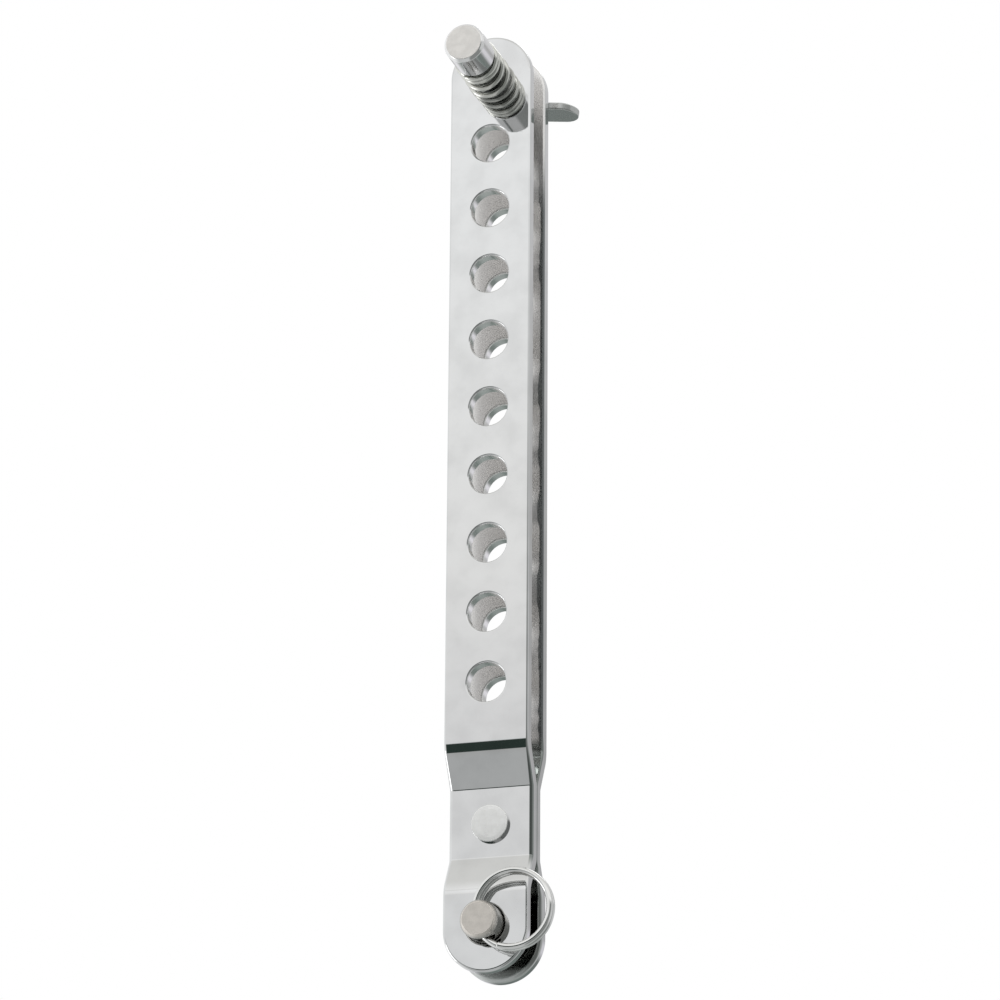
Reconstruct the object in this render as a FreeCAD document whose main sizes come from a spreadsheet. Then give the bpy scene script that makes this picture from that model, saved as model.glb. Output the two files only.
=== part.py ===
"""Shroud adjuster: two perforated plates joined by a rivet, a sprung fast pin and a clevis pin.

Frame: millimetres, +Z up along the plates towards the shroud, +X across their width,
-Y towards the front. The origin is on the clevis pin's axis, midway between the fork's lugs.
"""

import FreeCAD, Part

import os

import Sketcher
from FreeCAD import Placement, Rotation, Vector

SIZES = [
    ("plate_width", 13.4),
    ("plate_thickness", 2.2),
    ("plate_edge_chamfer", 0.3),
    ("channel_depth", 10.2),
    ("fork_depth", 9.6),
    ("end_margin", 0.7),
    ("bend_round", 1.2),
    ("upper_bend_height", 27.3),
    ("flat_top_height", 21.7),
    ("flat_bottom_height", 10.8),
    ("fork_bend_height", 6.0),
    ("hole_size", 6.2),
    ("hole_pitch", 11.2),
    ("hole_count", 10),
    ("top_hole_height", 138.5),
    ("rivet_height", 16.0),
    ("rivet_size", 4.0),
    ("rivet_head_size", 5.8),
    ("rivet_head_rise", 0.8),
    ("rivet_head_chamfer", 0.25),
    ("clevis_pin_size", 6.0),
    ("clevis_pin_reach", 3.7),
    ("pin_lead_inset", 0.5),
    ("pin_lead_length", 0.8),
    ("clevis_head_size", 9.5),
    ("clevis_head_thickness", 1.6),
    ("clevis_head_chamfer", 0.3),
    ("clevis_end_play", 0.2),
    ("ring_hole_size", 2.8),
    ("ring_hole_inset", 2.3),
    ("ring_rise_angle", 16),
    ("ring_size", 13.0),
    ("ring_wire_size", 1.0),
    ("ring_turn_gap", 0.06),
    ("ring_turns", 2),
    ("ring_lead_turns", 0.87),
    ("ring_slack", 0.42),
    ("fast_pin_size", 6.0),
    ("fast_pin_reach", 14.4),
    ("fast_pin_chamfer", 0.4),
    ("fast_head_size", 6.6),
    ("fast_head_length", 5.8),
    ("fast_neck_size", 4.2),
    ("fast_neck_sink", 0.3),
    ("fast_tail_margin", 0.5),
    ("spring_wire_size", 1.0),
    ("spring_small_size", 6.1),
    ("spring_large_size", 6.4),
    ("spring_closed_turns", 2),
    ("spring_open_turns", 2),
    ("spring_resting_turns", 0.5),
    ("spring_turn_gap", 0.06),
    ("spring_start_angle", 119),
    ("toggle_reach", 11.2),
    ("toggle_width", 5.5),
    ("toggle_thickness", 1.2),
    ("toggle_edge_chamfer", 0.2),
    ("toggle_droop_angle", 7),
    ("toggle_clearance", 0.1),
    ("toggle_rivet_size", 2.0),
    ("toggle_rivet_chamfer", 0.2),
]

# How far a cut runs past the metal that it takes away.
OVERRUN = 1.0

# Round wire is drawn with this many sides, and its flats are the wire's size apart.
WIRE_SIDES = 8

# Two places closer than this are the same place.
NEAR = 0.001

# Outer faces of a plate, as distances from the middle plane.
CHANNEL_FACE = "sizes.channel_depth / 2"
FLAT_FACE = "sizes.plate_thickness"
FORK_FACE = "sizes.fork_depth / 2"

# The two set-offs between the riveted flat and the channel above or the fork below.
UPPER_LEAN = ("atan((sizes.channel_depth / 2 - sizes.plate_thickness)"
              " / (sizes.upper_bend_height - sizes.flat_top_height))")
LOWER_LEAN = ("atan((sizes.fork_depth / 2 - sizes.plate_thickness)"
              " / (sizes.flat_bottom_height - sizes.fork_bend_height))")
UPPER_SHIFT = "sizes.plate_thickness * tan({} / 2)".format(UPPER_LEAN)
LOWER_SHIFT = "sizes.plate_thickness * tan({} / 2)".format(LOWER_LEAN)

# Centres of the round ends, and the first and last level of the metal.
TOP_CENTRE = "sizes.top_hole_height + sizes.end_margin"
TOP_END = TOP_CENTRE + " + sizes.plate_width / 2"
BOTTOM_CENTRE = "-sizes.end_margin"
BOTTOM_END = BOTTOM_CENTRE + " - sizes.plate_width / 2"

# The fast pin along its own axis, with the front plate's outer face on the way.
FAST_FRONT = "-sizes.channel_depth / 2 - sizes.fast_pin_reach"
FAST_SHOULDER = FAST_FRONT + " + sizes.fast_head_length"
TOGGLE_PIVOT = "sizes.channel_depth / 2 + sizes.toggle_clearance + sizes.toggle_width / 2"
FAST_TAIL = TOGGLE_PIVOT + " + sizes.fast_pin_size / 2 + sizes.fast_tail_margin"

# The clevis pin along its own axis.
CLEVIS_FRONT = "-sizes.fork_depth / 2 - sizes.clevis_pin_reach"
CLEVIS_HEAD = "sizes.fork_depth / 2 + sizes.clevis_end_play"
RING_HOLE = CLEVIS_FRONT + " + sizes.ring_hole_inset"

doc = FreeCAD.newDocument("shroud_adjuster")


def make_sheet():
    """Write the driving dimensions to a spreadsheet, one alias each."""
    sheet = doc.addObject("Spreadsheet::Sheet", "sizes")
    for row, (alias, value) in enumerate(SIZES, start=1):
        sheet.set("A{}".format(row), alias)
        sheet.set("B{}".format(row), str(value))
        sheet.setAlias("B{}".format(row), alias)
    doc.recompute()
    return sheet


def origin_part(body, role):
    """Return the body's own origin plane or axis with this role."""
    for feature in body.Origin.OriginFeatures:
        if feature.Role == role:
            return feature
    raise LookupError(role)


def new_body(label):
    """Add an empty body with this label."""
    body = doc.addObject("PartDesign::Body", label)
    body.Label = label
    return body


def new_sketch(body, name, plane):
    """Add a sketch to the body on one of its origin planes."""
    sketch = body.newObject("Sketcher::SketchObject", body.Label + "_" + name)
    sketch.AttachmentSupport = [(origin_part(body, plane), "")]
    sketch.MapMode = "FlatFace"
    return sketch


def number(sketch, expression):
    """Work out an expression with the sheet's present values."""
    value = sketch.evalExpression(expression)
    return float(getattr(value, "Value", value))


def bind(sketch, constraint, expression):
    """Add a driving constraint and tie it to the sheet."""
    index = sketch.addConstraint(constraint)
    sketch.setExpression("Constraints[{}]".format(index), expression)


def pin_point(sketch, geometry, position, across, along):
    """Hold a point of the sketch at two expressions from the sketch's origin."""
    bind(sketch, Sketcher.Constraint("DistanceX", -1, 1, geometry, position,
                                     number(sketch, across)), across)
    bind(sketch, Sketcher.Constraint("DistanceY", -1, 1, geometry, position,
                                     number(sketch, along)), along)


def add_polygon(sketch, corners):
    """Draw a closed outline of straight lines through corners given as expressions."""
    points = [Vector(number(sketch, across), number(sketch, along), 0) for across, along in corners]
    lines = []
    for start, end in zip(points, points[1:] + points[:1]):
        lines.append(sketch.addGeometry(Part.LineSegment(start, end)))
    for line, following in zip(lines, lines[1:] + lines[:1]):
        sketch.addConstraint(Sketcher.Constraint("Coincident", line, 2, following, 1))
    for line, (across, along) in zip(lines, corners):
        pin_point(sketch, line, 1, across, along)


def add_circle(sketch, across, along, diameter):
    """Draw a circle whose centre and diameter are expressions."""
    centre = Vector(number(sketch, across), number(sketch, along), 0)
    circle = sketch.addGeometry(Part.Circle(centre, Vector(0, 0, 1), number(sketch, diameter) / 2))
    pin_point(sketch, circle, 3, across, along)
    bind(sketch, Sketcher.Constraint("Diameter", circle, number(sketch, diameter)), diameter)


def add_slot_outline(sketch, first, second, diameter):
    """Draw an outline with two half-round ends about two centres given as expressions."""
    ends = [Vector(number(sketch, across), number(sketch, along), 0) for across, along in (first, second)]
    radius = number(sketch, diameter) / 2
    way = (ends[1] - ends[0]).normalize() * radius
    side = Vector(way.y, -way.x, 0)
    arcs = [sketch.addGeometry(Part.Arc(centre + side * sense, centre + way * sense, centre - side * sense))
            for centre, sense in zip(ends, (-1, 1))]
    lines = [sketch.addGeometry(Part.LineSegment(ends[0] + side, ends[1] + side)),
             sketch.addGeometry(Part.LineSegment(ends[1] - side, ends[0] - side))]
    for arc, before, after in ((arcs[1], lines[0], lines[1]), (arcs[0], lines[1], lines[0])):
        sketch.addConstraint(Sketcher.Constraint("Tangent", before, 2, arc, 1))
        sketch.addConstraint(Sketcher.Constraint("Tangent", arc, 2, after, 1))
    sketch.addConstraint(Sketcher.Constraint("Equal", arcs[0], arcs[1]))
    pin_point(sketch, arcs[0], 3, *first)
    pin_point(sketch, arcs[1], 3, *second)
    bind(sketch, Sketcher.Constraint("Diameter", arcs[0], 2 * radius), diameter)


def pad_both_ways(body, name, sketch, length):
    """Pad a sketch evenly to both sides of its plane."""
    pad = body.newObject("PartDesign::Pad", body.Label + "_" + name)
    pad.Profile = sketch
    pad.SideType = "Symmetric"
    pad.setExpression("Length", length)
    doc.recompute()
    return pad


def cut_through(body, name, sketch):
    """Cut a sketch right through the body, to both sides of its plane."""
    pocket = body.newObject("PartDesign::Pocket", body.Label + "_" + name)
    pocket.Profile = sketch
    pocket.SideType = "Symmetric"
    pocket.Type = "ThroughAll"
    doc.recompute()
    return pocket


def turn(body, name, corners):
    """Turn a half section, given as radius and place along Y, about the body's Y axis."""
    sketch = new_sketch(body, name + "_section", "XY_Plane")
    add_polygon(sketch, corners)
    revolution = body.newObject("PartDesign::Revolution", body.Label + "_" + name)
    revolution.Profile = sketch
    revolution.ReferenceAxis = (origin_part(body, "Y_Axis"), [""])
    revolution.Angle = 360
    doc.recompute()
    return revolution


def dress_edges(body, name, kind, size_property, size, edges):
    """Fillet or chamfer the named edges of the body's last feature."""
    base = body.Tip
    dressing = body.newObject("PartDesign::" + kind, body.Label + "_" + name)
    dressing.Base = (base, edges)
    dressing.setExpression(size_property, size)
    doc.recompute()
    return dressing


def edges_where(feature, test):
    """Name the edges of a feature that pass a test."""
    return ["Edge{}".format(index) for index, edge in enumerate(feature.Shape.Edges, start=1) if test(edge)]


def wind(body, name, radius, start, length, turns, wire, growth="0"):
    """Wind wire about the body's Y axis, from a start along it, growing wider each turn."""
    sketch = new_sketch(body, name + "_wire", "XY_Plane")
    corner_reach = "{} / 2 / cos({})".format(wire, 180 / WIRE_SIDES)
    corner_angles = [(index + 0.5) * 360 / WIRE_SIDES for index in range(WIRE_SIDES)]
    add_polygon(sketch, [("{} + {} * cos({})".format(radius, corner_reach, angle),
                          "{} + {} * sin({})".format(start, corner_reach, angle)) for angle in corner_angles])
    coil = body.newObject("PartDesign::AdditiveHelix", body.Label + "_" + name)
    coil.Profile = sketch
    coil.ReferenceAxis = (origin_part(body, "Y_Axis"), [""])
    coil.Mode = "height-turns-growth"
    coil.setExpression("Height", length)
    coil.setExpression("Turns", turns)
    coil.setExpression("Growth", growth)
    doc.recompute()
    return coil


def place(body, across="0", depth="0", height="0", angle="0"):
    """Put a body in the frame, turned about the Y axis by an angle expression."""
    body.Placement = Placement(Vector(0, 0, 0), Rotation(Vector(0, 1, 0), 1))
    body.setExpression("Placement.Base.x", across)
    body.setExpression("Placement.Base.y", depth)
    body.setExpression("Placement.Base.z", height)
    body.setExpression("Placement.Rotation.Angle", angle)


def plate_section(side):
    """Return the bent strip's side view, outer face first, as corners in Y and Z."""
    outer = [
        (CHANNEL_FACE, TOP_END),
        (CHANNEL_FACE, "sizes.upper_bend_height"),
        (FLAT_FACE, "sizes.flat_top_height"),
        (FLAT_FACE, "sizes.flat_bottom_height"),
        (FORK_FACE, "sizes.fork_bend_height"),
        (FORK_FACE, BOTTOM_END),
    ]
    shifts = ["0", UPPER_SHIFT, UPPER_SHIFT, "-" + LOWER_SHIFT, "-" + LOWER_SHIFT, "0"]
    inner = [(face + " - sizes.plate_thickness", "{} + {}".format(level, shift))
             for (face, level), shift in zip(outer, shifts)]
    return [("{} * ({})".format(side, face), level) for face, level in outer + inner[::-1]]


def bend_edges(feature, corners, sketch):
    """Name the edges across the strip that run through these corners of its section."""
    places = [(number(sketch, depth), number(sketch, level)) for depth, level in corners]

    def at_a_place(edge):
        return any(all(abs(vertex.Y - depth) < NEAR and abs(vertex.Z - level) < NEAR
                       for vertex in edge.Vertexes) for depth, level in places)

    return edges_where(feature, at_a_place)


def rim_edges(feature, sketch):
    """Name the edges that run round the plate's outline, on its outer and inner face."""
    half_width = number(sketch, "sizes.plate_width / 2")
    top = number(sketch, TOP_CENTRE)
    bottom = number(sketch, BOTTOM_CENTRE)

    def on_the_rim(edge):
        ends = [edge.valueAt(edge.FirstParameter), edge.valueAt(edge.LastParameter)]
        if abs(ends[0].x - ends[1].x) < NEAR and abs(ends[0].z - ends[1].z) < NEAR:
            return False
        middle = edge.valueAt((edge.FirstParameter + edge.LastParameter) / 2)
        beyond = max(middle.z - top, bottom - middle.z, 0)
        return abs((middle.x ** 2 + beyond ** 2) ** 0.5 - half_width) < NEAR

    return edges_where(feature, on_the_rim)


def make_plate(label, side):
    """Build one plate: a strip bent from its side view, cut to its outline, drilled and deburred."""
    body = new_body(label)
    section = new_sketch(body, "section", "YZ_Plane")
    corners = plate_section(side)
    add_polygon(section, corners)
    strip = pad_both_ways(body, "strip", section, "sizes.plate_width + {}".format(2 * OVERRUN))

    # The material lies inside each bend on one face and outside it on the other.
    outside_corners = [corners[1], corners[4], corners[8], corners[9]]
    inside_corners = [corners[2], corners[3], corners[7], corners[10]]
    dress_edges(body, "bend_outsides", "Fillet", "Radius", "sizes.bend_round + sizes.plate_thickness",
                bend_edges(strip, outside_corners, section))
    dress_edges(body, "bend_insides", "Fillet", "Radius", "sizes.bend_round",
                bend_edges(body.Tip, inside_corners, section))

    outline = new_sketch(body, "outline", "XZ_Plane")
    add_slot_outline(outline, ("0", BOTTOM_CENTRE), ("0", TOP_CENTRE), "sizes.plate_width")
    reach = "sizes.plate_width / 2 + {}".format(2 * OVERRUN)
    low = "{} - {}".format(BOTTOM_END, OVERRUN)
    high = "{} + {}".format(TOP_END, OVERRUN)
    add_polygon(outline, [("-({})".format(reach), low), (reach, low), (reach, high),
                          ("-({})".format(reach), high)])
    cut_through(body, "trim", outline)

    holes = new_sketch(body, "first_hole", "XZ_Plane")
    add_circle(holes, "0", "sizes.top_hole_height", "sizes.hole_size")
    first_hole = cut_through(body, "top_hole", holes)
    row = body.newObject("PartDesign::LinearPattern", label + "_hole_row")
    row.Originals = [first_hole]
    row.Direction = (origin_part(body, "Z_Axis"), [""])
    row.Reversed = True
    row.setExpression("Length", "sizes.hole_pitch * (sizes.hole_count - 1)")
    row.setExpression("Occurrences", "sizes.hole_count")
    body.Tip = row
    doc.recompute()

    others = new_sketch(body, "other_holes", "XZ_Plane")
    add_circle(others, "0", "sizes.rivet_height", "sizes.rivet_size")
    add_circle(others, "0", "0", "sizes.hole_size")
    cut_through(body, "rivet_and_clevis_holes", others)

    dress_edges(body, "deburred", "Chamfer", "Size", "sizes.plate_edge_chamfer", rim_edges(body.Tip, outline))
    return body


def make_plate_rivet():
    """Build the rivet: a shank through both plates with a low flat head on each side."""
    body = new_body("plate_rivet")
    head = "sizes.plate_thickness + sizes.rivet_head_rise"
    turned = turn(body, "rivet", [
        ("0", "-({})".format(head)),
        ("sizes.rivet_head_size / 2", "-({})".format(head)),
        ("sizes.rivet_head_size / 2", "-sizes.plate_thickness"),
        ("sizes.rivet_size / 2", "-sizes.plate_thickness"),
        ("sizes.rivet_size / 2", "sizes.plate_thickness"),
        ("sizes.rivet_head_size / 2", "sizes.plate_thickness"),
        ("sizes.rivet_head_size / 2", head),
        ("0", head),
    ])
    outermost = turned.Shape.BoundBox.YMax
    rims = edges_where(turned, lambda edge: abs(abs(edge.CenterOfMass.y) - outermost) < NEAR)
    dress_edges(body, "chamfered", "Chamfer", "Size", "sizes.rivet_head_chamfer", rims)
    place(body, height="sizes.rivet_height")
    return body


def make_clevis_pin():
    """Build the clevis pin: a head behind the rear lug and a cross hole in front of the front lug."""
    body = new_body("clevis_pin")
    radius = "sizes.clevis_pin_size / 2"
    head = "sizes.clevis_head_size / 2"
    head_back = CLEVIS_HEAD + " + sizes.clevis_head_thickness"
    turn(body, "blank", [
        ("0", CLEVIS_FRONT),
        (radius + " - sizes.pin_lead_inset", CLEVIS_FRONT),
        (radius, CLEVIS_FRONT + " + sizes.pin_lead_length"),
        (radius, CLEVIS_HEAD),
        (head, CLEVIS_HEAD),
        (head, head_back + " - sizes.clevis_head_chamfer"),
        (head + " - sizes.clevis_head_chamfer", head_back),
        ("0", head_back),
    ])
    hole = new_sketch(body, "cross_hole", "XY_Plane")
    add_circle(hole, "0", RING_HOLE, "sizes.ring_hole_size")
    cut_through(body, "ring_hole", hole)
    place(body, angle="-sizes.ring_rise_angle")
    return body


def make_split_ring():
    """Build the split ring, wound so that both of its turns lie in the clevis pin's cross hole."""
    body = new_body("split_ring")
    radius = "(sizes.ring_size - sizes.ring_wire_size) / 2"
    pitch = "(sizes.ring_wire_size + sizes.ring_turn_gap)"
    coil = wind(body, "coil", radius, "0", pitch + " * sizes.ring_turns",
                "sizes.ring_turns", "sizes.ring_wire_size")
    coil.LeftHanded = True
    doc.recompute()

    # The wire starts ring_lead_turns before the hole, passes it twice, and lies
    # ring_slack beyond the hole's middle, because it bows inside a straight hole.
    offset = "({} - sizes.ring_slack)".format(radius)
    start_angle = "(sizes.ring_lead_turns * 360 - 180 - sizes.ring_rise_angle)"
    place(body, across="{} * cos(sizes.ring_rise_angle)".format(offset),
          depth="{} - (sizes.ring_lead_turns + 0.5) * {}".format(RING_HOLE, pitch),
          height="{} * sin(sizes.ring_rise_angle)".format(offset), angle=start_angle)
    return body


def make_fast_pin():
    """Build the fast pin: head, neck for the spring, shank, and a tail slotted for the toggle."""
    body = new_body("fast_pin")
    radius = "sizes.fast_pin_size / 2"
    head = "sizes.fast_head_size / 2"
    neck = "sizes.fast_neck_size / 2"
    neck_end = "-sizes.channel_depth / 2 + sizes.fast_neck_sink"
    turn(body, "blank", [
        ("0", FAST_FRONT),
        (head + " - sizes.pin_lead_inset", FAST_FRONT),
        (head, FAST_FRONT + " + sizes.pin_lead_length"),
        (head, FAST_SHOULDER),
        (neck, FAST_SHOULDER),
        (neck, neck_end),
        (radius + " - sizes.fast_pin_chamfer", neck_end),
        (radius, neck_end + " + sizes.fast_pin_chamfer"),
        (radius, FAST_TAIL + " - sizes.fast_pin_chamfer"),
        (radius + " - sizes.fast_pin_chamfer", FAST_TAIL),
        ("0", FAST_TAIL),
    ])
    slot = new_sketch(body, "slot_view", "YZ_Plane")
    slot_bottom = "{} - sizes.toggle_width / 2 - 2 * sizes.toggle_clearance".format(TOGGLE_PIVOT)
    slot_end = "{} + {}".format(FAST_TAIL, OVERRUN)
    half_slot = "sizes.toggle_thickness / 2 + sizes.toggle_clearance"
    add_polygon(slot, [(slot_bottom, "-({})".format(half_slot)), (slot_end, "-({})".format(half_slot)),
                       (slot_end, half_slot), (slot_bottom, half_slot)])
    cut_through(body, "slot", slot)
    hole = new_sketch(body, "cross_hole", "XY_Plane")
    add_circle(hole, "0", TOGGLE_PIVOT, "sizes.toggle_rivet_size")
    cut_through(body, "rivet_hole", hole)
    place(body, height="sizes.top_hole_height", angle="sizes.toggle_droop_angle")
    return body


def make_pin_spring():
    """Build the spring: closed turns at the head, open turns, and a part turn resting on the plate."""
    body = new_body("pin_spring")
    wire = "sizes.spring_wire_size"
    small = "sizes.spring_small_size / 2"
    closed_length = "(sizes.spring_closed_turns * (sizes.spring_wire_size + sizes.spring_turn_gap))"
    start = "({} + {} / 2 + sizes.spring_turn_gap)".format(FAST_SHOULDER, wire)
    finish = "(-sizes.channel_depth / 2 - {} / 2 - sizes.spring_turn_gap)".format(wire)
    open_start = "({} + {})".format(start, closed_length)
    open_length = "({} - sizes.spring_turn_gap - {})".format(finish, open_start)
    spread = "(sizes.spring_large_size - sizes.spring_small_size) / 2"
    wind(body, "closed_turns", small, start, closed_length, "sizes.spring_closed_turns", wire)
    wind(body, "open_turns", small, open_start, open_length, "sizes.spring_open_turns", wire,
         growth=spread + " / sizes.spring_open_turns")
    wind(body, "resting_turns", "sizes.spring_large_size / 2", "({} - sizes.spring_turn_gap)".format(finish),
         "sizes.spring_turn_gap", "sizes.spring_resting_turns", wire)
    place(body, height="sizes.top_hole_height", angle="sizes.spring_start_angle")
    return body


def make_toggle():
    """Build the toggle: a flat bar with round ends, one of them about its pivot hole."""
    body = new_body("toggle")
    view = new_sketch(body, "view", "XY_Plane")
    add_slot_outline(view, ("0", TOGGLE_PIVOT), ("sizes.toggle_reach - sizes.toggle_width / 2", TOGGLE_PIVOT),
                     "sizes.toggle_width")
    add_circle(view, "0", TOGGLE_PIVOT, "sizes.toggle_rivet_size + sizes.toggle_clearance")
    bar = pad_both_ways(body, "bar", view, "sizes.toggle_thickness")
    rims = edges_where(bar, lambda edge: edge.BoundBox.ZLength < NEAR and not edge.isClosed())
    dress_edges(body, "chamfered", "Chamfer", "Size", "sizes.toggle_edge_chamfer", rims)
    place(body, height="sizes.top_hole_height", angle="sizes.toggle_droop_angle")
    return body


def make_toggle_rivet():
    """Build the cross rivet, which ends just below the tail's round surface."""
    body = new_body("toggle_rivet")
    end_view = new_sketch(body, "end_view", "XY_Plane")
    add_circle(end_view, "0", TOGGLE_PIVOT, "sizes.toggle_rivet_size")
    length = "2 * sqrt((sizes.fast_pin_size / 2)^2 - (sizes.toggle_rivet_size / 2)^2)"
    shank = pad_both_ways(body, "shank", end_view, length)
    rims = edges_where(shank, lambda edge: edge.BoundBox.ZLength < NEAR)
    dress_edges(body, "chamfered", "Chamfer", "Size", "sizes.toggle_rivet_chamfer", rims)
    place(body, height="sizes.top_hole_height", angle="sizes.toggle_droop_angle")
    return body


def check_document():
    """Stop if any object of the document failed to compute."""
    for item in doc.Objects:
        if "Invalid" in item.State or "Error" in item.State:
            raise RuntimeError("{} did not compute: {}".format(item.Label, item.State))


def export(bodies):
    """Write each valid body to its own file, named after its label."""
    for body in bodies:
        if body.Shape.isNull() or not body.Shape.isValid() or not body.Shape.Solids:
            raise RuntimeError(body.Label + " has no valid solid")
    os.makedirs("parts", exist_ok=True)
    for body in bodies:
        body.Shape.exportStep(os.path.join("parts", body.Label + ".step"))
        print("{:14s} {} solid, {:.1f} mm3".format(body.Label, len(body.Shape.Solids), body.Shape.Volume))


make_sheet()
pieces = [
    make_plate("front_plate", -1),
    make_plate("rear_plate", 1),
    make_plate_rivet(),
    make_clevis_pin(),
    make_split_ring(),
    make_fast_pin(),
    make_pin_spring(),
    make_toggle(),
    make_toggle_rivet(),
]
doc.recompute()
check_document()
export(pieces)
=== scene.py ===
"""Shroud adjuster: two polished perforated plates, a sprung fast pin and a clevis pin with its ring.

Sizes and places are millimetres in the part's frame: +Z up the plates, -Y towards the front,
origin on the clevis pin's axis. Meshes are written in metres, with every object at the origin.
"""

import logging
import math
from dataclasses import dataclass, field, replace
from enum import Enum
from typing import Callable

import bpy
import numpy as np
from mathutils import Matrix

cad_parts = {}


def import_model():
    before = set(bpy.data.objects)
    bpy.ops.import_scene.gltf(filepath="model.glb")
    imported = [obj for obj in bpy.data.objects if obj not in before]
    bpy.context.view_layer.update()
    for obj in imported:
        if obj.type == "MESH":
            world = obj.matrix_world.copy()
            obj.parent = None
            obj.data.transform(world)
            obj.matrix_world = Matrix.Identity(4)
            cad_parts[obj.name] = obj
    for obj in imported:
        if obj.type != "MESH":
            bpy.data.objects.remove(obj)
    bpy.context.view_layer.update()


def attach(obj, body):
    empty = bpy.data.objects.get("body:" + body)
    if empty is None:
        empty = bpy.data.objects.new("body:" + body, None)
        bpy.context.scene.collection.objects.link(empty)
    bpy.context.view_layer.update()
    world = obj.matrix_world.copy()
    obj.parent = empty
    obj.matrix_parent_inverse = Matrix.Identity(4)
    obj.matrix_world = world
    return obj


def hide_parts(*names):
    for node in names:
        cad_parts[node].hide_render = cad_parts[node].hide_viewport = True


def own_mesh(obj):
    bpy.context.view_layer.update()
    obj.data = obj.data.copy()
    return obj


LOG = logging.getLogger("shroud_adjuster")

MM = 0.001
TURN_STEPS = 96

# The sizes that more than one piece or finish uses
PITCH = 11.2
TOP_HOLE = 138.5
RIVET_HEIGHT = 16.0
SHOULDER = -13.7
PIVOT = 7.95
PIN_LEAN = 7.0

Array = np.ndarray
Place = tuple[float, float, float]
Colour = tuple[float, float, float]
Span = tuple[float, float]
Spans = tuple[Span, Span]
Four = tuple[float, float, float, float]
Stops = tuple[tuple[float, Colour], ...]
Socket = bpy.types.NodeSocket
Object = bpy.types.Object


# Surfaces


@dataclass
class Skin:
    """Grids of surface in millimetres, joined into one closed mesh that keeps their shading directions."""

    points: list[Array] = field(default_factory=list)
    directions: list[Array] = field(default_factory=list)
    places: list[Array] = field(default_factory=list)
    faces: list[Array] = field(default_factory=list)
    count: int = 0
    weld: float = 0.0005
    weld_shift: float = 0.2718

    def add(self, points: Array, directions: Array, places: Array | None = None) -> None:
        """Add one grid, whose faces join each point to the next along both of its ways.

        Args:
            points: Places on the surface, rows by columns by 3.
            directions: Outward directions there, of the same shape or broadcast to it.
            places: UV places, rows by columns by 2, for a finish that follows the surface.
        """
        rows, columns = points.shape[:2]
        index = np.arange(rows * columns).reshape(rows, columns) + self.count
        corners = [index[:-1, :-1], index[1:, :-1], index[1:, 1:], index[:-1, 1:]]
        self.points.append(points.reshape(-1, 3))
        self.directions.append(np.broadcast_to(directions, points.shape).reshape(-1, 3))
        self.places.append(np.zeros((rows * columns, 2)) if places is None else places.reshape(-1, 2))
        self.faces.append(np.stack(corners, axis=-1).reshape(-1, 4))
        self.count += rows * columns

    def turned(self, degrees: float) -> "Skin":
        """Turn everything so far about the Y axis, +Z towards +X, and return the skin."""
        angle = math.radians(degrees)
        matrix = np.array([[math.cos(angle), 0, math.sin(angle)], [0, 1, 0], [-math.sin(angle), 0, math.cos(angle)]])
        self.points = [points @ matrix.T for points in self.points]
        self.directions = [directions @ matrix.T for directions in self.directions]
        return self

    def swapped(self) -> "Skin":
        """Change Y and Z of everything so far round, and return the skin."""
        self.points = [points[:, [0, 2, 1]] for points in self.points]
        self.directions = [directions[:, [0, 2, 1]] for directions in self.directions]
        return self

    def moved(self, across: float, along: float, up: float) -> "Skin":
        """Move everything so far, and return the skin."""
        self.points = [points + np.array([across, along, up]) for points in self.points]
        return self

    def mesh(self, name: str, shaded: bool = True, mapped: bool = False) -> Object:
        """Weld the grids and make the object.

        A face turns round where the cross product of its diagonals points against its directions.
        Corners in one cell of the weld's size make one vertex, and a face that loses a corner
        becomes a triangle. The cells are shifted, so that round sizes stay off their edges.

        Args:
            name: The piece's name.
            shaded: Whether the mesh keeps the directions as its own normals.
            mapped: Whether it keeps the UV places.

        Returns:
            The new object at the origin.
        """
        points, directions = np.concatenate(self.points), np.concatenate(self.directions)
        places, faces = np.concatenate(self.places), np.concatenate(self.faces)
        across = points[faces[:, 2]] - points[faces[:, 0]]
        down = points[faces[:, 3]] - points[faces[:, 1]]
        inward = (np.cross(across, down) * directions[faces].sum(axis=1)).sum(axis=1) < 0
        faces[inward] = faces[inward][:, ::-1]
        cells = np.round(points / self.weld + self.weld_shift).astype(np.int64)
        _, first, welded = np.unique(cells, axis=0, return_index=True, return_inverse=True)
        corners = welded.reshape(-1)[faces]
        kept = corners != np.roll(corners, -1, axis=1)
        kept &= (kept.sum(axis=1) >= 3)[:, None]
        sizes = kept.sum(axis=1)
        sizes = sizes[sizes > 0]
        mesh = bpy.data.meshes.new(name)
        mesh.vertices.add(len(first))
        mesh.vertices.foreach_set("co", (points[first] * MM).astype(np.float32).ravel())
        mesh.loops.add(int(sizes.sum()))
        mesh.loops.foreach_set("vertex_index", corners[kept].astype(np.int32))
        mesh.polygons.add(len(sizes))
        mesh.polygons.foreach_set("loop_start", np.concatenate([[0], np.cumsum(sizes)[:-1]]).astype(np.int32))
        mesh.polygons.foreach_set("use_smooth", np.ones(len(sizes), dtype=bool))
        if mapped:
            layer = mesh.uv_layers.new(name="along_and_round")
            layer.data.foreach_set("uv", places[faces][kept].astype(np.float32).ravel())
        mesh.update(calc_edges=True)
        if mesh.validate(clean_customdata=False):
            LOG.warning("%s had faces that needed mending", name)
        if shaded:
            mesh.normals_split_custom_set(directions[faces][kept].tolist())
        piece = bpy.data.objects.new(name, mesh)
        bpy.context.scene.collection.objects.link(piece)
        return piece


def unit(vectors: Array) -> Array:
    """Scale vectors to length 1."""
    return vectors / np.linalg.norm(vectors, axis=-1, keepdims=True)


def joined(*columns: Array | float) -> Array:
    """Spread columns to one shape and join them as a last axis."""
    return np.stack(np.broadcast_arrays(*columns), axis=-1)


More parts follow.
